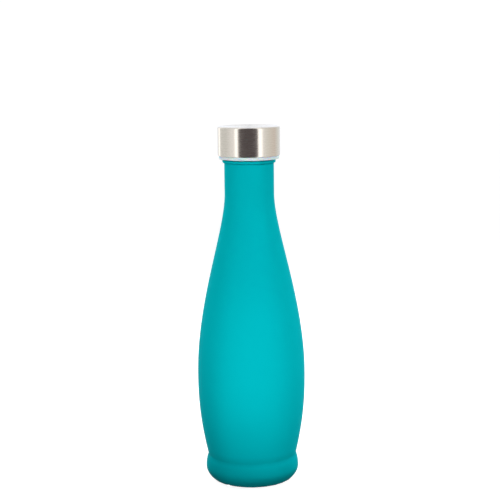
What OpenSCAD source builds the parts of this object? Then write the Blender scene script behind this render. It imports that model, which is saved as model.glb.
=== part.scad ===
// Half-litre glass water bottle with a sprayed matt coat and a steel-clad screw cap.
// The bottle stands on z = 0 and its axis is the Z axis. All sizes are in millimetres.

/* [Bottle] */
// Height from the table to the top of the closed cap
total_h = 250; // [235:1:280]
// Outside diameter of the neck, over the coat
neck_d = 34.4; // [34:0.1:36]
// Outside diameter at the widest part of the belly, over the coat
belly_d = 75.6; // [70:0.2:84]
// Height of the widest part of the belly
belly_z = 76; // [70:1:84]
// Outside diameter at the crease between the belly and the foot
waist_d = 62; // [59:0.2:66]
// Height of that crease
waist_z = 17.8; // [16:0.2:20]
// Outside diameter of the foot at its widest
foot_d = 65.3; // [63:0.1:69]
// Outside diameter of the flat ring that the bottle stands on
bearing_d = 53.5; // [44:0.5:54]
// Thickness of the glass in the belly and the shoulder
glass_t = 2.7; // [2.2:0.1:3]
// Thickness of the sprayed coat
coat_t = 0.15; // [0.1:0.05:0.25]

/* [Mouth] */
// Diameter of the mouth's bore
mouth_d = 25; // [22:0.5:26]
// Diameter of the finish at the root of its thread
finish_d = 31.2; // [30.6:0.1:31.6]
// How far the glass thread stands out
glass_thread_h = 1.3; // [1:0.1:1.4]
// Rise of the thread in one turn
thread_lead = 4.2; // [4:0.1:4.6]
// Turns of thread on the glass
glass_thread_turns = 1.5; // [1:0.25:1.75]
// Diameter of the bead below the thread, over the coat
bead_d = 37; // [36.6:0.1:38]

/* [Cap] */
// Outside diameter of the steel shell
cap_d = 43.5; // [43.5:0.1:46]
// Height of the steel shell
shell_h = 20; // [20:0.5:24]
// Thickness of the steel
steel_t = 0.4; // [0.3:0.05:0.6]
// Outside radius of the shell's top edge
shell_edge_r = 1; // [0.8:0.1:2]
// Height of the plastic flange that shows below the shell
flange_h = 2.4; // [2:0.1:3]
// Turns of thread inside the insert
insert_thread_turns = 1.25; // [0.75:0.25:1.5]
// Number of ribs between the insert's skirt and the shell
rib_count = 20; // [8:1:28]
// Thickness of the silicone sealing ring
seal_t = 2; // [1.6:0.1:2.4]

/* [Hidden] */
$fn = 128;

// Steps in one turn of a thread, and in a curve and a rounded corner of an outline
THREAD_STEPS = 40;
CURVE_STEPS = 16;
CORNER_STEPS = 5;
// How far a thread's base reaches into the wall that carries it
THREAD_ROOT = 0.5;
// Angle over which the end of a thread fades into its wall
FADE_ANGLE = 36;

// Cap heights, from the top down
disc_t = 1.6;
disc_top = total_h - steel_t;
disc_low = disc_top - disc_t;
lip_z = disc_low - seal_t;
shell_low = total_h - shell_h;
flange_low = shell_low - flange_h;

// Cap radii
shell_r = cap_d / 2;
shell_in_r = shell_r - steel_t;
flange_r = shell_r - 0.85;
disc_r = shell_in_r - shell_edge_r + 0.2;
skirt_t = 1.6;
boss_r = 10.7;
boss_t = 1.1;
boss_h = 1.8;
seal_in_r = boss_r + 0.2;
seal_out_r = 16.9;
seal_round = 0.4;
catch_r = 16.5;
catch_t = 0.5;
rib_t = 1.2;

// The finish: its root, its threads and the clearance between them
finish_r = finish_d / 2;
mouth_r = mouth_d / 2;
lip_round = 1.1;
glass_crest_r = finish_r + glass_thread_h;
insert_root_r = glass_crest_r + 0.45;
insert_crest_r = finish_r + 0.5;
glass_thread_base = 1.2;
glass_thread_tip = 0.5;
insert_thread_base = 0.95;
insert_thread_tip = 0.45;
glass_thread_low = lip_z - 3.5 - glass_thread_turns * thread_lead;
// A closed cap pulls up against the glass thread, so its thread lies nearer to the one above it
bearing_offset = thread_lead / 2 - 0.35;
insert_thread_start = 90;

// Bead below the thread
bead_gap = 0.45;
bead_h = 2.25;
bead_top = flange_low - bead_gap;
bead_low = bead_top - bead_h;
bead_r = bead_d / 2 - coat_t;
bead_round = 0.9;

// Body of the glass, which is the outside less the coat
neck_r = neck_d / 2 - coat_t;
neck_low = total_h - 46.5;
belly_r = belly_d / 2 - coat_t;
waist_r = waist_d / 2 - coat_t;
foot_r = foot_d / 2 - coat_t;
foot_z = 8.8;
bearing_r = bearing_d / 2;
bearing_w = 3;
punt_h = 4.2;
coat_hem_z = 0.6;

// Inside of the glass
neck_glass_t = glass_t + 0.45;
inner_neck_r = neck_r - neck_glass_t;
inner_belly_r = belly_r - glass_t;
bore_low = lip_z - 24;
heel_in_r = waist_r - 2.9;
heel_in_z = 17;
floor_z = 9.5;

// Points along a cubic Bezier curve after its first one
function curve(a, b, c, d, n = CURVE_STEPS) = [
    for (i = [1:n])
        let (t = i / n, s = 1 - t)
            s * s * s * a + 3 * s * s * t * b + 3 * s * t * t * c + t * t * t * d
];

// Points along a circular arc about centre c, from angle a to angle b
function arc(c, r, a, b, n = CORNER_STEPS) = [
    for (i = [0:n])
        let (angle = a + (b - a) * i / n)
            c + r * [cos(angle), sin(angle)]
];

// A list back to front
function reversed(list) = [for (i = [len(list) - 1:-1:0]) list[i]];

// Unit normal to the left of the way from p to q
function left_normal(p, q) = [p[1] - q[1], q[0] - p[0]] / norm(q - p);

// The sideways step that moves a corner between two edges by one unit from each
function corner_step(before, after) = (before + after) / (1 + before * after);

// A path moved sideways by t, to the left of the way it runs
function beside(path, t) = [
    for (i = [0:len(path) - 1])
        let (
            before = left_normal(path[max(i - 1, 0)], path[max(i, 1)]),
            after = left_normal(path[min(i, len(path) - 2)], path[min(i + 1, len(path) - 1)])
        )
            path[i] + t * corner_step(before, after)
];

// Outside of the glass below the finish, from the bead's top down to the bearing ring.
// Each point is [radius, height].
coated_outline = concat(
    [[finish_r, bead_top]],
    arc([bead_r - bead_round, bead_top - bead_round], bead_round, 90, 0),
    arc([bead_r - bead_round, bead_low + bead_round], bead_round, 0, -90),
    [[neck_r + 0.3, bead_low], [neck_r, bead_low - 0.3], [neck_r, neck_low]],
    curve([neck_r, neck_low], [neck_r, neck_low - 26],
        [belly_r, belly_z + 52], [belly_r, belly_z], 2 * CURVE_STEPS),
    curve([belly_r, belly_z], [belly_r, belly_z - 19.5],
        [waist_r + 5.3, waist_z + 22.5], [waist_r, waist_z]),
    curve([waist_r, waist_z], [waist_r + 0.9, waist_z - 1.4],
        [foot_r, foot_z + 4], [foot_r, foot_z], CORNER_STEPS + 1),
    curve([foot_r, foot_z], [foot_r, 0.47 * foot_z],
        [bearing_r + 0.05 * (foot_r - bearing_r), 0], [bearing_r, 0])
);

// Lip, and the finish above the bead
lip_outline = concat(
    arc([mouth_r + lip_round, lip_z - lip_round], lip_round, 180, 90),
    arc([finish_r - lip_round, lip_z - lip_round], lip_round, 90, 0)
);

// Hollow under the base, from the bearing ring to the axis
punt_outline = concat(
    [[bearing_r - bearing_w, 0]],
    curve([bearing_r - bearing_w, 0], [bearing_r - bearing_w - 4, 0.85 * punt_h],
        [8, punt_h], [0, punt_h], CURVE_STEPS / 2)
);

// Inside of the glass, from the middle of its floor up to the bore of the mouth
inside_outline = reversed(concat(
    [[mouth_r, bore_low]],
    curve([mouth_r, bore_low], [mouth_r, bore_low - 6],
        [inner_neck_r, bore_low - 6], [inner_neck_r, bore_low - 12], CORNER_STEPS),
    curve([inner_neck_r, neck_low + 1.5], [inner_neck_r, neck_low - 25],
        [inner_belly_r, belly_z + 51], [inner_belly_r, belly_z], 2 * CURVE_STEPS),
    curve([inner_belly_r, belly_z], [inner_belly_r, belly_z - 19.5],
        [heel_in_r + 4.6, heel_in_z + 20], [heel_in_r, heel_in_z]),
    curve([heel_in_r, heel_in_z], [heel_in_r - 1.6, heel_in_z - 7.5],
        [heel_in_r - 6, floor_z - 3], [heel_in_r / 2, floor_z - 1.3], CURVE_STEPS / 2),
    curve([heel_in_r / 2, floor_z - 1.3], [heel_in_r / 3, floor_z - 0.3],
        [4, floor_z], [0, floor_z], CORNER_STEPS)
));

// One turn of a thread's four-sided section at an angle, sized by how full it is from 0 to 1
function thread_section(angle, base_r, tip_r, base_half, tip_half, z, full) = [
    for (p = [[base_r, -base_half], [base_r, base_half], [tip_r, tip_half], [tip_r, -tip_half]])
        let (r = base_r + (p[0] - base_r) * full)
            [r * cos(angle), r * sin(angle), z + p[1]]
];

// Right-handed thread that climbs from z_low at angle 0, drawn from angle a for so many turns.
// Its base is at base_r and its tip at tip_r, which is outside the base on a screw and inside
// it in a nut. The ends fade to the share `least` of its depth.
module thread(base_r, tip_r, base_half, tip_half, z_low, a, turns, least) {
    steps = ceil(turns * THREAD_STEPS);
    sections = [
        for (i = [0:steps])
            let (
                angle = a + turns * 360 * i / steps,
                to_end = min(angle - a, a + turns * 360 - angle),
                full = least + (1 - least) * sin(90 * min(to_end / FADE_ANGLE, 1)),
                z = z_low + thread_lead * angle / 360
            )
                thread_section(angle, base_r, tip_r, base_half, tip_half, z, full)
    ];
    sides = [
        for (i = [0:steps - 1], k = [0:3])
            let (b = 4 * i, j = (k + 1) % 4)
                each [[b + k, b + 4 + k, b + 4 + j], [b + k, b + 4 + j, b + j]]
    ];
    ends = [[0, 1, 2], [0, 2, 3], for (e = [[2, 1, 0], [3, 2, 0]]) e + 4 * steps * [1, 1, 1]];
    faces = concat(sides, ends);
    polyhedron(
        points = [for (s = sections) each s],
        faces = tip_r > base_r ? faces : [for (f = faces) reversed(f)]
    );
}

module bottle_glass() {
    color([0.82, 0.92, 0.92, 0.5]) {
        rotate_extrude() polygon(concat(
            lip_outline, coated_outline, punt_outline, inside_outline));
        thread(finish_r - THREAD_ROOT, glass_crest_r, glass_thread_base, glass_thread_tip,
            glass_thread_low, 0, glass_thread_turns, 0.6 * THREAD_ROOT / glass_thread_h);
    }
}

module colour_coat() {
    covered = [for (p = coated_outline) if (p[1] >= coat_hem_z) p];
    color([0, 0.7, 0.74])
        rotate_extrude() polygon(concat(covered, reversed(beside(covered, coat_t))));
}

module cap_shell() {
    inner_edge_r = shell_edge_r - steel_t;
    corner = [shell_r - shell_edge_r, total_h - shell_edge_r];
    color([0.8, 0.78, 0.74])
        rotate_extrude() polygon(concat(
            [[0, total_h]],
            arc(corner, shell_edge_r, 90, 0),
            [[shell_r, shell_low], [shell_in_r, shell_low]],
            arc(corner, inner_edge_r, 0, 90),
            [[0, disc_top]]));
}

module insert_ribs() {
    intersection() {
        for (i = [0:rib_count - 1])
            rotate(360 * i / rib_count)
                translate([insert_root_r + skirt_t / 2, -rib_t / 2, shell_low - 0.2])
                    cube([shell_r, rib_t, disc_low - shell_low + 0.4]);
        cylinder(r = shell_in_r, h = total_h);
    }
}

module thread_insert() {
    skirt_r = insert_root_r + skirt_t;
    boss_low = disc_low - boss_h;
    catch_low = lip_z - 0.2 - catch_t;
    color([0.9, 0.92, 0.92]) {
        rotate_extrude() polygon([
            [0, disc_top], [disc_r, disc_top], [disc_r, disc_low], [skirt_r, disc_low],
            [skirt_r, shell_low], [flange_r, shell_low], [flange_r, flange_low],
            [insert_root_r + 0.6, flange_low], [insert_root_r, flange_low + 0.6],
            [insert_root_r, catch_low - 0.5], [catch_r, catch_low],
            [catch_r, catch_low + catch_t], [insert_root_r, catch_low + catch_t],
            [insert_root_r, disc_low], [boss_r, disc_low], [boss_r, boss_low + 0.3],
            [boss_r - 0.3, boss_low], [boss_r - boss_t, boss_low],
            [boss_r - boss_t, disc_low], [0, disc_low]
        ]);
        insert_ribs();
        thread(insert_root_r + THREAD_ROOT, insert_crest_r, insert_thread_base,
            insert_thread_tip, glass_thread_low - bearing_offset, insert_thread_start,
            insert_thread_turns, 0.6 * THREAD_ROOT / (insert_root_r - insert_crest_r));
    }
}

module seal_ring() {
    low = lip_z + seal_round;
    high = lip_z + seal_t - seal_round;
    color([0.93, 0.93, 0.9])
        rotate_extrude() polygon(concat(
            arc([seal_out_r - seal_round, high], seal_round, 90, 0, 3),
            arc([seal_out_r - seal_round, low], seal_round, 0, -90, 3),
            arc([seal_in_r + seal_round, low], seal_round, 270, 180, 3),
            arc([seal_in_r + seal_round, high], seal_round, 180, 90, 3)));
}

bottle_glass();
colour_coat();
cap_shell();
thread_insert();
seal_ring();
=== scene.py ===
"""The looks of a half-litre glass water bottle, built around its CAD model.

The bottle stands on z = 0 and its axis is the Z axis. All lengths are in metres.
Every piece is a surface of revolution: a profile of (radius, height) points is carried
round the axis, and threads, ribs, seams and wavy hems are added to it as functions of the
angle and the height.
"""

from math import ceil, pi, radians

import bpy
import numpy as np
from bpy.props import FloatProperty, FloatVectorProperty, IntProperty, PointerProperty
from mathutils import Euler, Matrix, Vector


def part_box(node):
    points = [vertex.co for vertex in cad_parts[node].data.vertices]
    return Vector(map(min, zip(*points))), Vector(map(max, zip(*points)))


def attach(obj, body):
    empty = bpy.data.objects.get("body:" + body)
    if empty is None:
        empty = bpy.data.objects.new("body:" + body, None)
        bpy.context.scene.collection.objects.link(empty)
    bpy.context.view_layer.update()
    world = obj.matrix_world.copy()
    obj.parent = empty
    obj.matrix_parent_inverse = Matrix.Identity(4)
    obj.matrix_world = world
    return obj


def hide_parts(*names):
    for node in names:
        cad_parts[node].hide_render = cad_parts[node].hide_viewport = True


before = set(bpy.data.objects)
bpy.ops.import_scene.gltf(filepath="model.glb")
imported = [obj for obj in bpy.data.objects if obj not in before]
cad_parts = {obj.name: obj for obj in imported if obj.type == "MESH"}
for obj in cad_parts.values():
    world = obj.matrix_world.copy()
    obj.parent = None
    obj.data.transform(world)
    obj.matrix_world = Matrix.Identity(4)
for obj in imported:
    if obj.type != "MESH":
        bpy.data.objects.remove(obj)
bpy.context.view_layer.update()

bl_info = {
    "name": "Glass Water Bottle",
    "version": (1, 0, 0),
    "blender": (4, 5, 0),
    "location": "View3D > Sidebar > Bottle",
    "description": "Builds a glass water bottle with a matt coat and a steel screw cap",
    "category": "Add Mesh",
}

MM = 0.001
TAU = 2 * pi
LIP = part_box("bottle_glass")[1].z
THREAD_DROP = 3.5 * MM  # From the lip down to the end of the glass thread
GLASS_TURNS, INSERT_TURNS = 1.5, 1.25  # Turns of thread on the glass and in the insert
COAT_LOW, COAT_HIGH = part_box("colour_coat")
BELLY = min(-COAT_LOW.x, -COAT_LOW.y, COAT_HIGH.x, COAT_HIGH.y)
SHELL_LOW, SHELL_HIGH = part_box("cap_shell")
INSERT_LOW, INSERT_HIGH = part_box("thread_insert")
SEAL_LOW, SEAL_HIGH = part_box("seal_ring")


def length(name, description, default):
    """A length in metres that the sidebar shows."""
    return FloatProperty(
        name=name, description=description, default=default, min=0.0, unit="LENGTH",
        precision=5,
    )


def angle(name, description, degrees):
    """An angle that the sidebar shows."""
    return FloatProperty(
        name=name, description=description, default=radians(degrees), subtype="ANGLE",
    )


def colour(name, description, default):
    """A linear colour that the sidebar shows."""
    return FloatVectorProperty(
        name=name, description=description, default=default, subtype="COLOR", size=3,
        min=0.0, max=1.0,
    )


class BottleSizes(bpy.types.PropertyGroup):
    """Sizes of the glass and its coat: radii from the axis and heights over the table."""

    coat: length("Coat", "Thickness of the sprayed coat", 0.15 * MM)
    wall: length("Wall", "Thickness of the glass in the belly", 2.7 * MM)
    neck_radius: length("Neck radius", "Outside of the glass neck", 17.05 * MM)
    neck_low: length("Neck foot", "Height where the neck starts to widen", 203.5 * MM)
    belly_radius: length("Belly radius", "Outside of the glass belly", BELLY - 0.19 * MM)
    belly_height: length("Belly height", "Height of the widest part", 76 * MM)
    waist_radius: length("Waist radius", "Glass at the crease over the foot", 30.85 * MM)
    waist_height: length("Waist height", "Height of that crease", 17.8 * MM)
    foot_radius: length("Foot radius", "Outside of the glass foot", 32.5 * MM)
    foot_height: length("Foot height", "Height of the foot's widest part", 8.8 * MM)
    ring_radius: length("Ring radius", "Outside of the ring it stands on", 26.75 * MM)
    ring_width: length("Ring width", "Width of the ring it stands on", 3 * MM)
    punt_height: length("Punt height", "Rise of the hollow under the base", 4.2 * MM)
    hem_height: length("Hem height", "Where the coat ends over the table", 0.3 * MM)
    mouth_radius: length("Mouth radius", "Bore of the mouth", 12.5 * MM)
    finish_radius: length("Finish radius", "Glass at the root of its thread", 15.6 * MM)
    thread_depth: length("Thread depth", "How far the glass thread stands out", 1.3 * MM)
    thread_lead: length("Thread lead", "Rise of the thread in one turn", 4.2 * MM)
    bead_radius: length("Bead radius", "Outside of the glass bead", 18.35 * MM)
    bead_top: length("Bead top", "Height of the top of the glass bead", 227.15 * MM)
    bead_height: length("Bead height", "Height of the bead itself", 2.25 * MM)
    seam: length("Seam", "Height of the mould's seams", 0.05 * MM)


class CapSizes(bpy.types.PropertyGroup):
    """Sizes of the steel shell, the plastic insert and the sealing ring."""

    steel: length("Steel", "Thickness of the steel", 0.4 * MM)
    edge: length("Edge", "Rounding of the shell's top edge", 1 * MM)
    dish: length("Dish", "How far the shell's top sinks in its middle", 0.12 * MM)
    flange: length("Flange", "Radius of the plastic flange below the shell", 20.9 * MM)
    root: length("Root", "Insert's radius at the root of its thread", 17.35 * MM)
    crest: length("Crest", "Insert's radius at the crest of its thread", 16.1 * MM)
    skirt: length("Skirt", "Thickness of the insert's threaded skirt", 1.6 * MM)
    roof: length("Roof", "Thickness of the insert's roof", 1.6 * MM)
    boss: length("Boss", "Radius of the ring that centres the seal", 10.7 * MM)
    ribs: IntProperty(name="Ribs", description="Ribs round the skirt", default=20, min=1)


class FinishColours(bpy.types.PropertyGroup):
    """Colours of the finishes."""

    coat: colour("Coat", "Sprayed matt lacquer", (0.0, 0.47, 0.528))
    glass: colour("Glass", "Clear soda-lime glass", (0.93, 0.985, 0.975))
    steel: colour("Steel", "Brushed stainless steel", (0.72, 0.69, 0.64))
    plastic: colour("Plastic", "Natural polypropylene", (0.76, 0.87, 0.91))
    silicone: colour("Silicone", "Translucent silicone", (0.8, 0.8, 0.76))


class StudioSettings(bpy.types.PropertyGroup):
    """The camera and the lights."""

    distance: length("Distance", "Level distance from the axis to the camera", 0.997)
    height: length("Height", "Height of the camera over the table", 0.3143)
    pitch: angle("Pitch", "How far the camera looks down", 8.6)
    roll: angle("Roll", "How far the camera leans to its left", 0.65)
    yaw: angle("Yaw", "How far the camera turns aside", 0.0)
    lens: FloatProperty(
        name="Lens", description="Focal length on a 36 mm sensor", default=103.9, min=1,
        unit="CAMERA",
    )
    light: FloatProperty(
        name="Light", description="Strength of all the lights", default=1, min=0,
    )


# Profiles ------------------------------------------------------------------------------


def curve(a, b, c, d, steps):
    """Points of a cubic Bezier curve after its first one: the four points weighted by the
    Bernstein polynomials of t, for t in even steps up to 1."""
    t = np.linspace(0, 1, steps + 1)[1:, None]
    s = 1 - t
    a, b, c, d = (np.asarray(p, float) for p in (a, b, c, d))
    return s**3 * a + 3 * s * s * t * b + 3 * s * t * t * c + t**3 * d


def arc(centre, radius, start, end, steps=8):
    """Points on a circle about a centre, from one angle to another in degrees."""
    around = np.radians(np.linspace(start, end, steps + 1))[:, None]
    return np.asarray(centre) + radius * np.hstack([np.cos(around), np.sin(around)])


def rounded(corners, radii, steps=4):
    """A path through the corners with each inner one rounded: two points that lie a
    rounding's length before and after it, joined by a quadratic curve that it pulls."""
    corners = np.asarray(corners, float)
    t = np.linspace(0, 1, steps + 1)[:, None]
    path = [corners[:1]]
    for before, corner, after, radius in zip(corners, corners[1:], corners[2:], radii):
        start = corner + radius * (before - corner) / np.linalg.norm(before - corner)
        end = corner + radius * (after - corner) / np.linalg.norm(after - corner)
        path.append((1 - t) ** 2 * start + 2 * t * (1 - t) * corner + t * t * end)
    return np.vstack(path + [corners[-1:]])


def densified(path, spacing):
    """The same path with points added on its edges, none further apart than the spacing:
    each is found at an even distance along its own edge."""
    edges = np.linalg.norm(np.diff(path, axis=0), axis=1)
    counts = np.maximum(np.ceil(edges / spacing), 1).astype(int)
    which = np.repeat(np.arange(len(counts)), counts)
    first = np.concatenate([[0], np.cumsum(counts)[:-1]])
    share = ((np.arange(len(which)) - first[which]) / counts[which])[:, None]
    inner = path[which] * (1 - share) + path[which + 1] * share
    return np.vstack([inner, path[-1:]])


def beside(path, distance):
    """The path moved sideways: each point goes along the mean of its two edges' left
    normals, far enough to stay that distance from both edges."""
    edges = np.diff(path, axis=0)
    normals = np.stack([-edges[:, 1], edges[:, 0]], axis=1)
    normals /= np.linalg.norm(normals, axis=1)[:, None]
    before = np.vstack([normals[:1], normals])
    after = np.vstack([normals, normals[-1:]])
    step = (before + after) / (1 + np.sum(before * after, axis=1))[:, None]
    return path + distance * step


def body_profile(sizes):
    """Outside of the glass below its finish, from the bead's top down to the bearing ring:
    a rounded bead, a straight neck, one long S-curve out to the belly, one curve in to the
    waist, a small curve out over the foot, and the heel's curve in to the ring."""
    neck, belly, waist = sizes.neck_radius, sizes.belly_radius, sizes.waist_radius
    foot, ring, bead = sizes.foot_radius, sizes.ring_radius, sizes.bead_radius
    top, low = sizes.bead_top, sizes.bead_top - sizes.bead_height
    belly_z, waist_z, foot_z = sizes.belly_height, sizes.waist_height, sizes.foot_height
    rounding, fillet = 0.9 * MM, 0.35 * MM
    return np.vstack([
        [[sizes.finish_radius, top]],
        arc([bead - rounding, top - rounding], rounding, 90, 0),
        arc([bead - rounding, low + rounding], rounding, 0, -90),
        arc([neck + fillet, low - fillet], fillet, 90, 180, 4),
        densified(np.array([[neck, low - fillet], [neck, sizes.neck_low]]), 2.5 * MM)[1:],
        curve([neck, sizes.neck_low], [neck, sizes.neck_low - 26 * MM],
              [belly, belly_z + 52 * MM], [belly, belly_z], 60),
        curve([belly, belly_z], [belly, belly_z - 19.5 * MM],
              [waist + 5.3 * MM, waist_z + 22.5 * MM], [waist, waist_z], 32),
        curve([waist, waist_z], [waist + 0.9 * MM, waist_z - 1.4 * MM],
              [foot, foot_z + 4 * MM], [foot, foot_z], 14),
        curve([foot, foot_z], [foot, 0.47 * foot_z],
              [ring + 0.05 * (foot - ring), 0], [ring, 0], 22),
    ])


def lip_profile(sizes):
    """The finish: from the bore up over the lip and down the threaded outside."""
    rounding = 1.1 * MM
    bore, out = sizes.mouth_radius, sizes.finish_radius
    return np.vstack([
        [[bore, LIP - 24 * MM]],
        arc([bore + rounding, LIP - rounding], rounding, 180, 90),
        arc([out - rounding, LIP - rounding], rounding, 90, 0),
        densified(np.array([[out, LIP - rounding], [out, sizes.bead_top + 0.2 * MM]]),
                  0.21 * MM)[1:],
    ])


def punt_profile(sizes):
    """Under the base: across the bearing ring and up the hollow to the axis, with the
    shallow round step that the bottom of the mould leaves."""
    ring, inner, rise = sizes.ring_radius, sizes.ring_radius - sizes.ring_width, sizes.punt_height
    path = np.vstack([
        densified(np.array([[ring, 0], [inner, 0]]), 0.5 * MM)[1:],
        curve([inner, 0], [inner - 4 * MM, 0.85 * rise], [8 * MM, rise], [0, rise], 30),
    ])
    step = smooth((path[:, 0] - 9.2 * MM) / (0.6 * MM))
    path[:, 1] -= 0.18 * MM * (1 - step) * (path[:, 1] > 0)
    return path


def inside_profile(sizes):
    """Inside of the glass, from the middle of the floor up to the bore of the mouth."""
    neck = sizes.neck_radius - sizes.wall - 0.45 * MM
    belly, belly_z = sizes.belly_radius - sizes.wall, sizes.belly_height
    bore, bore_low = sizes.mouth_radius, LIP - 24 * MM
    heel, heel_z, floor = sizes.waist_radius - 2.9 * MM, 17 * MM, 9.5 * MM
    path = np.vstack([
        [[bore, bore_low]],
        curve([bore, bore_low], [bore, bore_low - 6 * MM],
              [neck, bore_low - 6 * MM], [neck, bore_low - 12 * MM], 8),
        curve([neck, sizes.neck_low + 1.5 * MM], [neck, sizes.neck_low - 25 * MM],
              [belly, belly_z + 51 * MM], [belly, belly_z], 36),
        curve([belly, belly_z], [belly, belly_z - 19.5 * MM],
              [heel + 4.6 * MM, heel_z + 20 * MM], [heel, heel_z], 20),
        curve([heel, heel_z], [heel - 1.6 * MM, heel_z - 7.5 * MM],
              [heel - 6 * MM, floor - 3 * MM], [heel / 2, floor - 1.3 * MM], 14),
        curve([heel / 2, floor - 1.3 * MM], [heel / 3, floor - 0.3 * MM],
              [4 * MM, floor], [0, floor], 8),
    ])
    return path[::-1]


def thread_foot(sizes):
    """Height where the glass thread starts: its drop and its whole rise below the lip."""
    return LIP - THREAD_DROP - GLASS_TURNS * sizes.thread_lead


# Functions of the angle and the height -------------------------------------------------


def smooth(t):
    """0 below t = 0, 1 above t = 1, and 3tt - 2ttt between."""
    t = np.clip(t, 0, 1)
    return t * t * (3 - 2 * t)


def helix_ridge(around, z, low, lead, start, turns, base, tip, fade=radians(36)):
    """How full a right-handed thread is at each angle and height, from 0 to 1. Its helix
    passes the height low + lead (angle + 2 pi k) / 2 pi in turn k. The ridge is full
    within the tip's half-width of that height, has smooth flanks down to the base's
    half-width, and fades in and out at its two ends."""
    along = around[..., None] + TAU * np.arange(ceil(start / TAU + turns) + 1)
    off = np.abs(z[..., None] - (low + lead * along / TAU))
    to_end = np.minimum(along - start, start + turns * TAU - along)
    return np.max(smooth((base - off) / (base - tip)) * smooth(to_end / fade), axis=-1)


def seam_ridge(around, r):
    """The mould's two seams, from 0 to 1: a smooth ridge 0.3 mm to each side of the angles
    0 and half a turn, measured round the surface."""
    off = np.abs(np.sin(around)) * r
    return smooth(1 - off / (0.3 * MM))


def column_angles(columns, seams=False):
    """Even angles for the columns, and on a moulded piece a few more close to each seam."""
    angles = np.arange(columns) * TAU / columns
    if seams:
        near = np.radians([-0.5, -0.38, -0.25, -0.12, 0.12, 0.25, 0.38, 0.5])
        angles = np.concatenate([angles, near, near + pi])
    return np.unique(np.round(angles % TAU, 9))


# Meshes --------------------------------------------------------------------------------


def turned(name, profile, angles, ring=False, shift=None):
    """A closed piece turned from a profile that runs with the solid on its right. Row i and
    column j give the point x = r cos a, y = r sin a, z = z, and shift gives what is added
    to r and z there. A ring's profile closes on itself. Any other starts and ends on the
    axis, where its first and last row close in a fan. The UV map holds the share of a turn
    and the way along the profile in metres."""
    rows = profile if ring else profile[1:-1]
    a = np.broadcast_to(angles, (len(rows), len(angles)))
    r = np.broadcast_to(rows[:, :1], a.shape)
    z = np.broadcast_to(rows[:, 1:], a.shape)
    if shift:
        dr, dz = shift(a, r, z)
        r, z = r + dr, z + dz
    points = np.stack([r * np.cos(a), r * np.sin(a), z], axis=-1).reshape(-1, 3)

    count, columns = a.shape
    i = np.repeat(np.arange(count if ring else count - 1), columns)
    j = np.tile(np.arange(columns), len(i) // columns)
    i_next, j_next = (i + 1) % count, (j + 1) % columns
    quads = np.stack([i * columns + j, i_next * columns + j,
                      i_next * columns + j_next, i * columns + j_next], axis=1)
    closed = np.vstack([rows, rows[:1]]) if ring else rows
    steps = np.linalg.norm(np.diff(closed, axis=0), axis=1)
    along = np.concatenate([[0], np.cumsum(steps)])
    across = np.append(angles, angles[0] + TAU) / TAU
    uv = np.stack([across[[j, j, j + 1, j + 1]], along[[i, i + 1, i + 1, i]]], axis=-1)
    uv = uv.transpose(1, 0, 2).reshape(-1, 2)
    corners, sizes = quads.ravel(), np.full(len(quads), 4)
    if not ring:
        poles = np.array([[0, 0, profile[0, 1]], [0, 0, profile[-1, 1]]])
        top, low = len(points), len(points) + 1
        points = np.vstack([points, poles])
        j = np.arange(columns)
        j_next, base = (j + 1) % columns, (count - 1) * columns
        fans = np.vstack([np.stack([np.full(columns, top), j, j_next], axis=1),
                          np.stack([np.full(columns, low), base + j_next, base + j], axis=1)])
        middle = (across[j] + across[j + 1]) / 2
        fan_uv = np.vstack([
            np.stack([middle, across[j], across[j + 1]], axis=1),
            np.stack([middle, across[j + 1], across[j]], axis=1)])
        heights = np.zeros(fan_uv.shape)
        heights[:columns, 0] = -np.linalg.norm(profile[0] - profile[1])
        heights[columns:, :] = along[-1]
        heights[columns:, 0] += np.linalg.norm(profile[-1] - profile[-2])
        corners = np.concatenate([corners, fans.ravel()])
        sizes = np.concatenate([sizes, np.full(len(fans), 3)])
        uv = np.vstack([uv, np.stack([fan_uv, heights], axis=-1).reshape(-1, 2)])
    return mesh_object(name, points, corners, sizes, uv)


def mesh_object(name, points, corners, sizes, uv):
    """A smooth-shaded mesh at the origin, from its points, its faces' corners one after
    another, the number of corners of each face, and the corners' UV."""
    mesh = bpy.data.meshes.new(name)
    mesh.vertices.add(len(points))
    mesh.vertices.foreach_set("co", points.astype(np.float32).ravel())
    mesh.loops.add(len(corners))
    mesh.loops.foreach_set("vertex_index", corners.astype(np.int32))
    mesh.polygons.add(len(sizes))
    starts = np.cumsum(sizes) - sizes
    mesh.polygons.foreach_set("loop_start", starts.astype(np.int32))
    mesh.polygons.foreach_set("use_smooth", np.ones(len(sizes), bool))
    layer = mesh.uv_layers.new(name="Turned")
    layer.data.foreach_set("uv", uv.astype(np.float32).ravel())
    mesh.update(calc_edges=True)
    if mesh.validate():
        raise RuntimeError(f"{name} has a bad face")
    piece = bpy.data.objects.new(name, mesh)
    bpy.context.scene.collection.objects.link(piece)
    return piece


def fitted(piece, body, node, material):
    """Gives a finished piece its material and puts it on its body in place of its node."""
    piece.data.materials.append(material)
    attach(piece, body)
    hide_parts(node)


# Materials -----------------------------------------------------------------------------


def node(tree, kind, inputs=None, **settings):
    """A new node with its settings and its inputs' values."""
    made = tree.nodes.new(kind)
    for key, value in settings.items():
        setattr(made, key, value)
    for key, value in (inputs or {}).items():
        made.inputs[key].default_value = value
    return made


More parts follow.
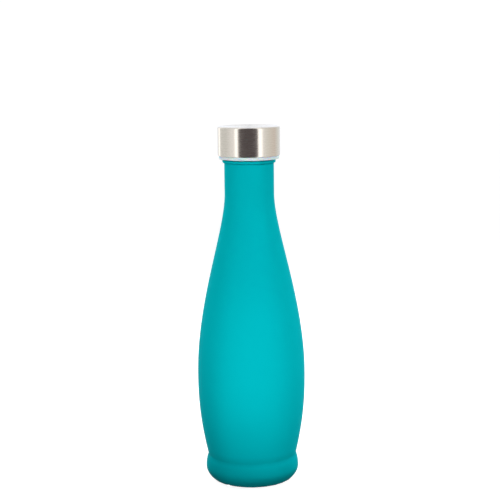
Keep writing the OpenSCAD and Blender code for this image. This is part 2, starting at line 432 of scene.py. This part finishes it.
def surface_grain():
    """The node group of a sprayed or moulded surface: a fine even grain, and a broad faint
    mottle. It is built once."""
    if "Surface Grain" in bpy.data.node_groups:
        return bpy.data.node_groups["Surface Grain"]
    tree = bpy.data.node_groups.new("Surface Grain", "ShaderNodeTree")
    socket = tree.interface.new_socket
    socket("Vector", in_out="INPUT", socket_type="NodeSocketVector")
    socket("Grain Scale", in_out="INPUT", socket_type="NodeSocketFloat").default_value = 2000
    socket("Mottle Scale", in_out="INPUT", socket_type="NodeSocketFloat").default_value = 40
    socket("Grain", in_out="OUTPUT", socket_type="NodeSocketFloat")
    socket("Mottle", in_out="OUTPUT", socket_type="NodeSocketFloat")
    start, end = node(tree, "NodeGroupInput"), node(tree, "NodeGroupOutput")
    for output in ("Grain", "Mottle"):
        noise = node(tree, "ShaderNodeTexNoise", {"Detail": 3.0, "Roughness": 0.55})
        tree.links.new(start.outputs["Vector"], noise.inputs["Vector"])
        tree.links.new(start.outputs[output + " Scale"], noise.inputs["Scale"])
        tree.links.new(noise.outputs["Fac"], end.inputs[output])
    return tree


def grained(tree, grain_scale, mottle_scale):
    """The grain group on the piece's own coordinates."""
    place = node(tree, "ShaderNodeTexCoord")
    grain = node(tree, "ShaderNodeGroup", node_tree=surface_grain())
    grain.inputs["Grain Scale"].default_value = grain_scale
    grain.inputs["Mottle Scale"].default_value = mottle_scale
    tree.links.new(place.outputs["Object"], grain.inputs["Vector"])
    return grain.outputs["Grain"], grain.outputs["Mottle"]


def new_material(name, **values):
    """A material, its node tree, and its Principled shader with these plain values."""
    material = bpy.data.materials.new(name)
    material.use_nodes = True
    tree = material.node_tree
    shader = tree.nodes["Principled BSDF"]
    for key, value in values.items():
        shader.inputs[key.replace("_", " ")].default_value = value
    return material, tree, shader


def set_stops(ramp, stops):
    """Gives a colour ramp its stops, each a position from 0 to 1 and a colour."""
    for number, (position, rgb) in enumerate(stops):
        stop = ramp.elements[number] if number < 2 else ramp.elements.new(position)
        stop.position = position
        stop.color = (*rgb, 1)


def tint(tree, shader, value, rgb, dark, light, shade=None):
    """Feeds the base colour: the colour made darker where the value is low and lighter
    where it is high. It goes through the node that shades it, if there is one."""
    mix = node(tree, "ShaderNodeMix", data_type="RGBA")
    tree.links.new(value, mix.inputs["Factor"])
    mix.inputs[6].default_value = (*(min(c * dark, 1) for c in rgb), 1)
    mix.inputs[7].default_value = (*(min(c * light, 1) for c in rgb), 1)
    if shade:
        tree.links.new(mix.outputs[2], shade.inputs[6])
    tree.links.new((shade or mix).outputs[2], shader.inputs["Base Color"])


def roughen(tree, shader, value, low, high):
    """Feeds the roughness: from low to high as the value goes from 0 to 1."""
    span = node(tree, "ShaderNodeMapRange", {"To Min": low, "To Max": high})
    tree.links.new(value, span.inputs["Value"])
    tree.links.new(span.outputs["Result"], shader.inputs["Roughness"])


def bump(tree, shader, height, strength, distance):
    """Feeds the normal from a height."""
    relief = node(tree, "ShaderNodeBump", {"Strength": strength, "Distance": distance})
    tree.links.new(height, relief.inputs["Height"])
    tree.links.new(relief.outputs["Normal"], shader.inputs["Normal"])


def lacquer(rgb):
    """Sprayed matt lacquer: a film with a fine frost and very faint mottling. Its colour is
    darkened over the foot and in the crease above it: painted shade."""
    material, tree, shader = new_material("matt_lacquer", Specular_IOR_Level=0.01)
    grain, mottle = grained(tree, 2600, 28)
    place = node(tree, "ShaderNodeTexCoord")
    split = node(tree, "ShaderNodeSeparateXYZ")
    tree.links.new(place.outputs["Object"], split.inputs["Vector"])
    reach = 32
    height = node(tree, "ShaderNodeMapRange", {"From Min": 0.0, "From Max": reach * MM})
    tree.links.new(split.outputs["Z"], height.inputs["Value"])
    depth = node(tree, "ShaderNodeValToRGB")
    # Millimetres over the table, and the share of the colour that is left there: painted shade,
    # darkest at the foot and in the crease
    painted_shade_stops = [(0, 0.55), (7, 0.73), (10.5, 0.87), (15.5, 0.94), (18, 0.8), (23, 1.0),
             (reach, 1.0)]
    set_stops(depth.color_ramp, [(z / reach, (tone,) * 3) for z, tone in painted_shade_stops])
    tree.links.new(height.outputs["Result"], depth.inputs["Fac"])
    # Multiplies the coat's colour by the ramp: painted shade over the foot and in the crease
    shade = node(tree, "ShaderNodeMix", data_type="RGBA", blend_type="MULTIPLY")
    shade.inputs["Factor"].default_value = 1.0
    tree.links.new(depth.outputs["Color"], shade.inputs[7])
    tint(tree, shader, mottle, rgb, 0.97, 1.03, shade)
    roughen(tree, shader, grain, 0.52, 0.62)
    bump(tree, shader, grain, 0.25, 0.02 * MM)
    return material


def clear_glass(rgb):
    """Clear glass with the faint waviness that a mould leaves."""
    material, tree, shader = new_material("clear_glass", IOR=1.52, Transmission_Weight=1.0)
    grain, mottle = grained(tree, 900, 90)
    tint(tree, shader, mottle, rgb, 0.98, 1.0)
    roughen(tree, shader, grain, 0.0, 0.04)
    bump(tree, shader, mottle, 0.15, 0.3 * MM)
    return material


def brushed_steel(rgb):
    """Stainless steel brushed round the cap: streaks that are long across the angle and
    fine along the profile."""
    material, tree, shader = new_material(
        "brushed_steel", Metallic=1.0, Anisotropic=0.95, Anisotropic_Rotation=0.25)
    place = node(tree, "ShaderNodeTexCoord")
    stretch = node(tree, "ShaderNodeMapping", {"Scale": (6.0, 9000.0, 1.0)})
    tree.links.new(place.outputs["UV"], stretch.inputs["Vector"])
    streaks = node(tree, "ShaderNodeTexNoise", {"Scale": 1.0, "Detail": 5.0, "Roughness": 0.7})
    tree.links.new(stretch.outputs["Vector"], streaks.inputs["Vector"])
    value = streaks.outputs["Fac"]
    tint(tree, shader, value, rgb, 0.88, 1.08)
    roughen(tree, shader, value, 0.2, 0.34)
    bump(tree, shader, value, 0.2, 0.01 * MM)
    tangent = node(tree, "ShaderNodeTangent", direction_type="RADIAL", axis="Z")
    tree.links.new(tangent.outputs["Tangent"], shader.inputs["Tangent"])
    return material


def natural_plastic(rgb):
    """Natural polypropylene: pale and slightly waxy, with a fine spark-eroded grain."""
    material, tree, shader = new_material(
        "natural_plastic", Subsurface_Weight=0.3, Subsurface_Scale=1 * MM,
        Specular_IOR_Level=0.2)
    grain, mottle = grained(tree, 1800, 60)
    tint(tree, shader, mottle, rgb, 0.95, 1.04)
    roughen(tree, shader, grain, 0.5, 0.62)
    bump(tree, shader, grain, 0.2, 0.02 * MM)
    return material


def soft_silicone(rgb):
    """Translucent silicone with a dusty, slightly uneven surface."""
    material, tree, shader = new_material(
        "soft_silicone", Subsurface_Weight=0.5, Subsurface_Scale=1.5 * MM)
    grain, mottle = grained(tree, 1200, 120)
    tint(tree, shader, mottle, rgb, 0.93, 1.04)
    roughen(tree, shader, mottle, 0.4, 0.6)
    bump(tree, shader, grain, 0.15, 0.02 * MM)
    return material


# Pieces --------------------------------------------------------------------------------


class BOTTLE_OT_glass(bpy.types.Operator):
    """Turn the clear glass bottle, with its threaded finish, seams and knurled ring"""

    bl_idname = "bottle.glass"
    bl_label = "Glass"

    def execute(self, context):
        sizes = context.scene.bottle_sizes
        profile = np.vstack([
            inside_profile(sizes),
            lip_profile(sizes)[1:],
            body_profile(sizes),
            punt_profile(sizes),
        ])
        lead = sizes.thread_lead
        low = thread_foot(sizes)

        def shift(around, r, z):
            """The thread, the seams and the knurls of the bearing ring."""
            finish = (z > sizes.bead_top + 0.1 * MM) & (r > sizes.finish_radius - 1e-6)
            ridge = helix_ridge(around, z, low, lead, 0, GLASS_TURNS, 1.25 * MM, 0.45 * MM)
            below = (z < sizes.bead_top - 3 * MM) & (z > sizes.foot_height)
            outer = below & (r > sizes.neck_radius - 1e-6) & (r > inner_radius(sizes, z))
            dr = np.where(finish, sizes.thread_depth * ridge, 0)
            dr = dr + np.where(outer, sizes.seam * seam_ridge(around, r), 0)
            across = np.abs(r - sizes.ring_radius + sizes.ring_width / 2)
            ring = (z < 1e-6) & (across < sizes.ring_width / 2 - 0.2 * MM)
            dz = np.where(ring, 0.08 * MM * (1 - np.cos(72 * around)), 0)
            return dr, dz

        piece = turned("glass_body", profile, column_angles(256), shift=shift)
        material = clear_glass(context.scene.bottle_colours.glass)
        fitted(piece, "bottle", "bottle_glass", material)
        return {"FINISHED"}


def inner_radius(sizes, z):
    """The radius halfway into the glass wall at a height, to tell its two faces apart."""
    body = body_profile(sizes)
    order = np.argsort(body[:, 1], kind="stable")
    return np.interp(z, body[order, 1], body[order, 0]) - sizes.wall / 2


class BOTTLE_OT_coat(bpy.types.Operator):
    """Lay the matt coat over the glass, from the bead down to a wavy hem on the heel"""

    bl_idname = "bottle.coat"
    bl_label = "Coat"

    def execute(self, context):
        sizes = context.scene.bottle_sizes
        glass = body_profile(sizes)
        glass = glass[np.append(True, np.linalg.norm(np.diff(glass, axis=0), axis=1) > 1e-7)]
        glass = glass[glass[:, 1] > sizes.hem_height]
        gap = 0.02 * MM
        profile = np.vstack([beside(glass, sizes.coat), beside(glass, gap)[::-1]])

        def shift(around, r, z):
            """The seams that show through the coat, and the waves of its hem."""
            body = (z < sizes.bead_top - 3 * MM) & (z > sizes.foot_height)
            waves = np.sin(5 * around) + np.sin(9 * around + 1) + np.sin(23 * around + 2)
            hem = smooth((sizes.foot_height / 3 - z) / (sizes.foot_height / 3))
            dr = np.where(body, 0.7 * sizes.seam * seam_ridge(around, r), 0)
            return dr, (0.06 * waves + 0.1) * MM * hem

        piece = turned("matt_coat", profile, column_angles(256, seams=True), ring=True,
                       shift=shift)
        material = lacquer(context.scene.bottle_colours.coat)
        fitted(piece, "bottle", "colour_coat", material)
        return {"FINISHED"}


class BOTTLE_OT_shell(bpy.types.Operator):
    """Press the steel shell of the cap, with its rounded edge and turned-in hem"""

    bl_idname = "bottle.shell"
    bl_label = "Steel shell"

    def execute(self, context):
        cap = context.scene.bottle_cap
        radius, top, low = SHELL_HIGH.x, SHELL_HIGH.z, SHELL_LOW.z
        steel, edge, dish = cap.steel, cap.edge, cap.dish
        inner, centre = radius - steel, [radius - edge, top - edge]
        rim, curl = 0.15 * MM, 0.12 * MM
        flat = np.linspace(0, radius - edge - 1.2 * MM, 24)
        sunk = dish * np.cos(flat / flat[-1] * pi / 2)
        profile = np.vstack([
            np.stack([flat, top - sunk], axis=1),
            arc(centre, edge, 90, 0, 12),
            densified(np.array([[radius, top - edge], [radius, low + 1.5 * MM]]), MM)[1:],
            rounded([[radius, low + 1.4 * MM], [radius, low + 0.8 * MM],
                     [radius - curl, low], [inner - curl, low],
                     [inner, low + 0.8 * MM], [inner, low + 1.4 * MM]],
                    [0.3 * MM, rim, rim, 0.3 * MM])[1:],
            densified(np.array([[inner, low + 1.5 * MM], [inner, top - edge]]), 2 * MM)[1:],
            arc(centre, edge - steel, 0, 90, 8)[1:],
            np.stack([flat, top - steel - sunk], axis=1)[::-2],
            [[0, top - steel - dish]],
        ])
        piece = turned("steel_shell", profile, column_angles(256))
        material = brushed_steel(context.scene.bottle_colours.steel)
        fitted(piece, "cap", "cap_shell", material)
        return {"FINISHED"}


class BOTTLE_OT_insert(bpy.types.Operator):
    """Mould the threaded plastic insert, with its flange, ribs and seat for the seal"""

    bl_idname = "bottle.insert"
    bl_label = "Threaded insert"

    def execute(self, context):
        cap, sizes = context.scene.bottle_cap, context.scene.bottle_sizes
        top, low, flange_top = INSERT_HIGH.z, INSERT_LOW.z, SHELL_LOW.z
        roof = top - cap.roof
        skirt, disc = cap.root + cap.skirt, SHELL_HIGH.x - cap.steel - 0.8 * MM
        catch, catch_r = LIP - 0.45 * MM, 16.5 * MM
        boss, boss_low = cap.boss, roof - 1.8 * MM
        boss_in = boss - 1.1 * MM
        fine, small = 0.15 * MM, 0.3 * MM
        corners = [
            [0, top - cap.dish], [disc, top - cap.dish], [disc, roof + small],
            [disc - small, roof], [skirt, roof], [skirt, flange_top - 0.01 * MM],
            [cap.flange, flange_top - 0.01 * MM], [cap.flange, low], [cap.root + 0.5 * MM, low],
            [cap.root, low + 0.5 * MM], [cap.root, catch - 0.7 * MM],
            [catch_r, catch - 0.25 * MM], [catch_r, catch + 0.25 * MM],
            [cap.root, catch + 0.25 * MM], [cap.root, roof - 0.01 * MM],
            [boss, roof - 0.01 * MM], [boss, boss_low], [boss_in, boss_low],
            [boss_in, roof], [0, roof],
        ]
        radii = [fine, fine, fine, small, small, small, small, fine * 2, small, small, small,
                 fine, fine, small, small, fine, small, small]
        profile = densified(rounded(corners, radii), 0.3 * MM)
        lead, start = sizes.thread_lead, radians(90)
        # A closed cap pulls up against the glass thread, so its own thread lies over the
        # middle of the gap, nearer to the one above it
        bearing = 0.35 * MM
        helix = thread_foot(sizes) - (lead / 2 - bearing)

        def shift(around, r, z):
            """The thread inside the skirt, and the ribs outside it."""
            bore = (z < catch - 0.7 * MM) & (np.abs(r - cap.root) < 1e-6)
            ridge = helix_ridge(
                around, z, helix, lead, start, INSERT_TURNS, 0.95 * MM, 0.35 * MM)
            outer = (np.abs(r - skirt) < 1e-6) & (z > flange_top)
            rib = smooth((np.cos(cap.ribs * around) - 0.72) / 0.16)
            reach = SHELL_HIGH.x - cap.steel - 0.02 * MM - skirt
            rise = smooth((z - flange_top) / MM) * smooth((roof - z) / MM)
            dr = np.where(bore, -(cap.root - cap.crest) * ridge, 0)
            return dr + np.where(outer, reach * rib * rise, 0), 0

        piece = turned("insert_moulding", profile, column_angles(272), shift=shift)
        material = natural_plastic(context.scene.bottle_colours.plastic)
        fitted(piece, "cap", "thread_insert", material)
        return {"FINISHED"}


class BOTTLE_OT_seal(bpy.types.Operator):
    """Cut the silicone sealing ring, with rounded edges and the groove that the lip presses"""

    bl_idname = "bottle.seal"
    bl_label = "Sealing ring"

    def execute(self, context):
        cap = context.scene.bottle_cap
        low, high = SEAL_LOW.z, SEAL_HIGH.z
        inner, outer = cap.boss + 0.2 * MM, SEAL_HIGH.x
        edge = 0.4 * MM
        bottom = np.linspace(outer - edge, inner + edge, 25)
        groove = (bottom - (outer + inner) / 2) / (1.6 * MM)
        profile = np.vstack([
            densified(np.array([[inner + edge, high], [outer - edge, high]]), 0.5 * MM),
            arc([outer - edge, high - edge], edge, 90, 0, 5)[1:],
            arc([outer - edge, low + edge], edge, 0, -90, 5),
            np.stack([bottom, low + 0.08 * MM * np.exp(-groove**2)], axis=1)[1:-1],
            arc([inner + edge, low + edge], edge, -90, -180, 5),
            arc([inner + edge, high - edge], edge, 180, 90, 5)[:-1],
        ])
        piece = turned("silicone_ring", profile, column_angles(192), ring=True)
        material = soft_silicone(context.scene.bottle_colours.silicone)
        fitted(piece, "seal", "seal_ring", material)
        return {"FINISHED"}


# Stage ---------------------------------------------------------------------------------


def sweep():
    """The floor and the wall behind it in one sheet: the depth runs along a level line, a
    quarter circle and an upright line, and the width is straight."""
    back, bend, top = 1.4, 0.6, 2.2
    turn = np.linspace(0.1, pi / 2, 16)
    depth = np.vstack([
        np.array([[-1.6, 0.0]]),
        np.stack([np.linspace(-1.2, back, 14), np.zeros(14)], axis=1),
        np.array([back, bend]) + bend * np.stack([np.sin(turn), -np.cos(turn)], axis=1),
        np.array([[back + bend, top]]),
    ])
    width = np.linspace(-2.2, 2.2, 12)
    x = np.broadcast_to(width, (len(depth), len(width)))
    points = np.stack([x, np.broadcast_to(depth[:, :1], x.shape),
                       np.broadcast_to(depth[:, 1:], x.shape)], axis=-1).reshape(-1, 3)
    i, j = np.meshgrid(np.arange(len(depth) - 1), np.arange(len(width) - 1), indexing="ij")
    first = (i * len(width) + j).ravel()
    corners = np.stack([first, first + 1, first + len(width) + 1, first + len(width)], axis=1)
    return mesh_object("sweep", points, corners.ravel(), np.full(len(corners), 4),
                       np.zeros((corners.size, 2)))


def pale_floor():
    """A sweep that the camera sees nearly white by itself, so that its contact shadow is
    faint, and that throws only a little light back on the bottle. Its glow dims towards
    the axis: a painted shadow round the bottle's base."""
    material, tree, shader = new_material("pale_floor", Roughness=0.9, Specular_IOR_Level=0.0)
    shader.inputs["Base Color"].default_value = (0.4, 0.4, 0.4, 1)
    shader.inputs["Emission Strength"].default_value = 1.0
    place = node(tree, "ShaderNodeTexCoord")
    reach = node(tree, "ShaderNodeVectorMath", operation="LENGTH")
    tree.links.new(place.outputs["Object"], reach.inputs[0])
    # The glow dims to 0.9 within 3 cm of the axis: a painted shadow round the bottle's base
    glow_with_painted_shadow = node(tree, "ShaderNodeMapRange", {"From Min": 0.03, "From Max": 0.15,
                                             "To Min": 0.9, "To Max": 1.0})
    tree.links.new(reach.outputs["Value"], glow_with_painted_shadow.inputs["Value"])
    tree.links.new(glow_with_painted_shadow.outputs["Result"], shader.inputs["Emission Color"])
    dull = node(tree, "ShaderNodeBsdfDiffuse", {"Color": (0.08, 0.08, 0.08, 1)})
    path = node(tree, "ShaderNodeLightPath")
    mix = node(tree, "ShaderNodeMixShader")
    tree.links.new(path.outputs["Is Camera Ray"], mix.inputs["Fac"])
    tree.links.new(dull.outputs["BSDF"], mix.inputs[1])
    tree.links.new(shader.outputs["BSDF"], mix.inputs[2])
    tree.links.new(mix.outputs["Shader"], tree.nodes["Material Output"].inputs["Surface"])
    return material


def lamp(name, light, place, height):
    """Puts a light in its place, facing the axis at a height. Polished pieces don't show
    it, because the studio's surroundings give them what they reflect."""
    made = bpy.data.objects.new(name, light)
    made.location = place
    made.rotation_euler = (Vector((0, 0, height)) - Vector(place)).to_track_quat(
        "-Z", "Y").to_euler()
    made.visible_glossy = False
    bpy.context.scene.collection.objects.link(made)


def soft_box(name, place, height, power):
    """A soft box of 300 by 500 mm."""
    light = bpy.data.lights.new(name, "AREA")
    light.shape = "RECTANGLE"
    light.size, light.size_y = 0.3, 0.5
    light.energy = power
    lamp(name, light, place, height)


def soft_beam(name, place, height, power):
    """A soft round beam that is strongest at its aim and fades out 11 degrees off it."""
    light = bpy.data.lights.new(name, "SPOT")
    light.spot_size, light.spot_blend = radians(22), 1
    light.shadow_soft_size = 0.08
    light.energy = power
    lamp(name, light, place, height)


def studio_world():
    """White behind the bottle. What the pieces see is a soft dome that is brighter at the
    front and the right, and polished pieces see a dark flag in front of it."""
    world = bpy.data.worlds.new("studio")
    bpy.context.scene.world = world
    world.use_nodes = True
    tree = world.node_tree
    tree.nodes.clear()
    way = node(tree, "ShaderNodeTexCoord")
    dot = node(tree, "ShaderNodeVectorMath", operation="DOT_PRODUCT")
    dot.inputs[1].default_value = (0.25, -0.8, 0.5)
    tree.links.new(way.outputs["Generated"], dot.inputs[0])
    dome = node(tree, "ShaderNodeMapRange", {"From Min": -1.0, "From Max": 1.0,
                                             "To Min": 0.03, "To Max": 0.09})
    tree.links.new(dot.outputs["Value"], dome.inputs["Value"])

    split = node(tree, "ShaderNodeSeparateXYZ")
    tree.links.new(way.outputs["Generated"], split.inputs["Vector"])
    flip = node(tree, "ShaderNodeMath", {0: 0.0}, operation="SUBTRACT")
    tree.links.new(split.outputs["Y"], flip.inputs[1])
    around = node(tree, "ShaderNodeMath", operation="ARCTAN2")
    tree.links.new(split.outputs["X"], around.inputs[0])
    tree.links.new(flip.outputs["Value"], around.inputs[1])
    share = node(tree, "ShaderNodeMapRange", {"From Min": -pi, "From Max": pi})
    tree.links.new(around.outputs["Value"], share.inputs["Value"])
    flags = node(tree, "ShaderNodeValToRGB")
    white, cool, warm = (1.82, 1.78, 1.74), (0.8, 0.79, 0.76), (0.78, 0.69, 0.62)
    pale, black, back = (1.05, 1.02, 1.0), (0.115, 0.098, 0.1), (1.15, 1.2, 1.3)
    grey = (0.9, 0.9, 0.9)
    # Degrees round from the front, to the right if above 0, and the colour that lies there
    panels = [
        (-180, back), (-150, grey), (-136, white), (-128, cool), (-92, cool), (-64, pale),
        (-55, pale), (-52, white), (-43, white), (-38, black), (33, black), (37, white),
        (49, white), (54, pale), (72, (0.88, 0.86, 0.8)), (112, warm),
        (134, (0.86, 0.88, 0.86)), (150, grey), (180, back),
    ]
    set_stops(flags.color_ramp, [((degrees + 180) / 360, rgb) for degrees, rgb in panels])
    tree.links.new(share.outputs["Result"], flags.inputs["Fac"])

    path = node(tree, "ShaderNodeLightPath")
    seen = node(tree, "ShaderNodeMix", data_type="RGBA")
    tree.links.new(path.outputs["Is Glossy Ray"], seen.inputs["Factor"])
    tree.links.new(dome.outputs["Result"], seen.inputs[6])
    tree.links.new(flags.outputs["Color"], seen.inputs[7])
    white = node(tree, "ShaderNodeMix", data_type="RGBA")
    tree.links.new(path.outputs["Is Camera Ray"], white.inputs["Factor"])
    tree.links.new(seen.outputs[2], white.inputs[6])
    white.inputs[7].default_value = (1, 1, 1, 1)
    background = node(tree, "ShaderNodeBackground", {"Strength": 1.0})
    tree.links.new(white.outputs[2], background.inputs["Color"])
    output = node(tree, "ShaderNodeOutputWorld")
    tree.links.new(background.outputs["Background"], output.inputs["Surface"])


def studio_camera(studio):
    """A long lens on the -Y side that looks slightly down on the bottle."""
    data = bpy.data.cameras.new("camera")
    data.lens, data.sensor_width = studio.lens, 36
    camera = bpy.data.objects.new("camera", data)
    camera.location = (0, -studio.distance, studio.height)
    level = Euler((pi / 2 - studio.pitch, 0, studio.yaw)).to_matrix()
    camera.rotation_euler = (level @ Euler((0, 0, -studio.roll)).to_matrix()).to_euler()
    bpy.context.scene.collection.objects.link(camera)
    bpy.context.scene.camera = camera


class BOTTLE_OT_stage(bpy.types.Operator):
    """Set up the sweep, the soft lights and the camera"""

    bl_idname = "bottle.stage"
    bl_label = "Stage"

    def execute(self, context):
        studio = context.scene.bottle_studio
        floor = sweep()
        floor.data.materials.append(pale_floor())
        floor.visible_glossy = False
        studio_world()
        power = studio.light
        soft_box("back_left", (-0.45, 0.5, 0.28), 0.12, 4.5 * power)
        soft_box("back_right", (0.45, 0.5, 0.28), 0.12, 4.0 * power)
        soft_box("right", (0.6, -0.05, 0.3), 0.14, 1.6 * power)
        soft_beam("front_top", (-0.12, -0.55, 0.42), 0.23, 13.6 * power)
        soft_beam("front_middle", (-0.12, -0.55, 0.18), 0.11, 5.2 * power)
        soft_beam("front_left", (-0.15, -0.55, 0.12), 0.06, 6 * power)
        soft_beam("front_right", (0.1, -0.55, 0.12), 0.06, 5.5 * power)
        studio_camera(studio)
        context.scene.view_settings.view_transform = "Standard"
        return {"FINISHED"}


class BOTTLE_PT_sidebar(bpy.types.Panel):
    """The bottle's operators and settings"""

    bl_label = "Glass Water Bottle"
    bl_idname = "BOTTLE_PT_sidebar"
    bl_space_type = "VIEW_3D"
    bl_region_type = "UI"
    bl_category = "Bottle"

    def draw(self, context):
        for operator in OPERATORS:
            self.layout.operator(operator.bl_idname)
        for group in GROUPS:
            box = self.layout.box()
            settings = getattr(context.scene, group)
            for name in settings.__annotations__:
                box.prop(settings, name)


GROUPS = {
    "bottle_sizes": BottleSizes,
    "bottle_cap": CapSizes,
    "bottle_colours": FinishColours,
    "bottle_studio": StudioSettings,
}
OPERATORS = (BOTTLE_OT_glass, BOTTLE_OT_coat, BOTTLE_OT_shell, BOTTLE_OT_insert,
             BOTTLE_OT_seal, BOTTLE_OT_stage)


def register():
    for item in (*GROUPS.values(), *OPERATORS, BOTTLE_PT_sidebar):
        bpy.utils.register_class(item)
    for name, group in GROUPS.items():
        setattr(bpy.types.Scene, name, PointerProperty(type=group))


def unregister():
    for name in GROUPS:
        delattr(bpy.types.Scene, name)
    for item in (BOTTLE_PT_sidebar, *reversed(OPERATORS), *GROUPS.values()):
        bpy.utils.unregister_class(item)


def main():
    register()
    bpy.ops.bottle.stage()
    bpy.ops.bottle.glass()
    bpy.ops.bottle.coat()
    bpy.ops.bottle.shell()
    bpy.ops.bottle.insert()
    bpy.ops.bottle.seal()


if __name__ == "__main__":
    main()
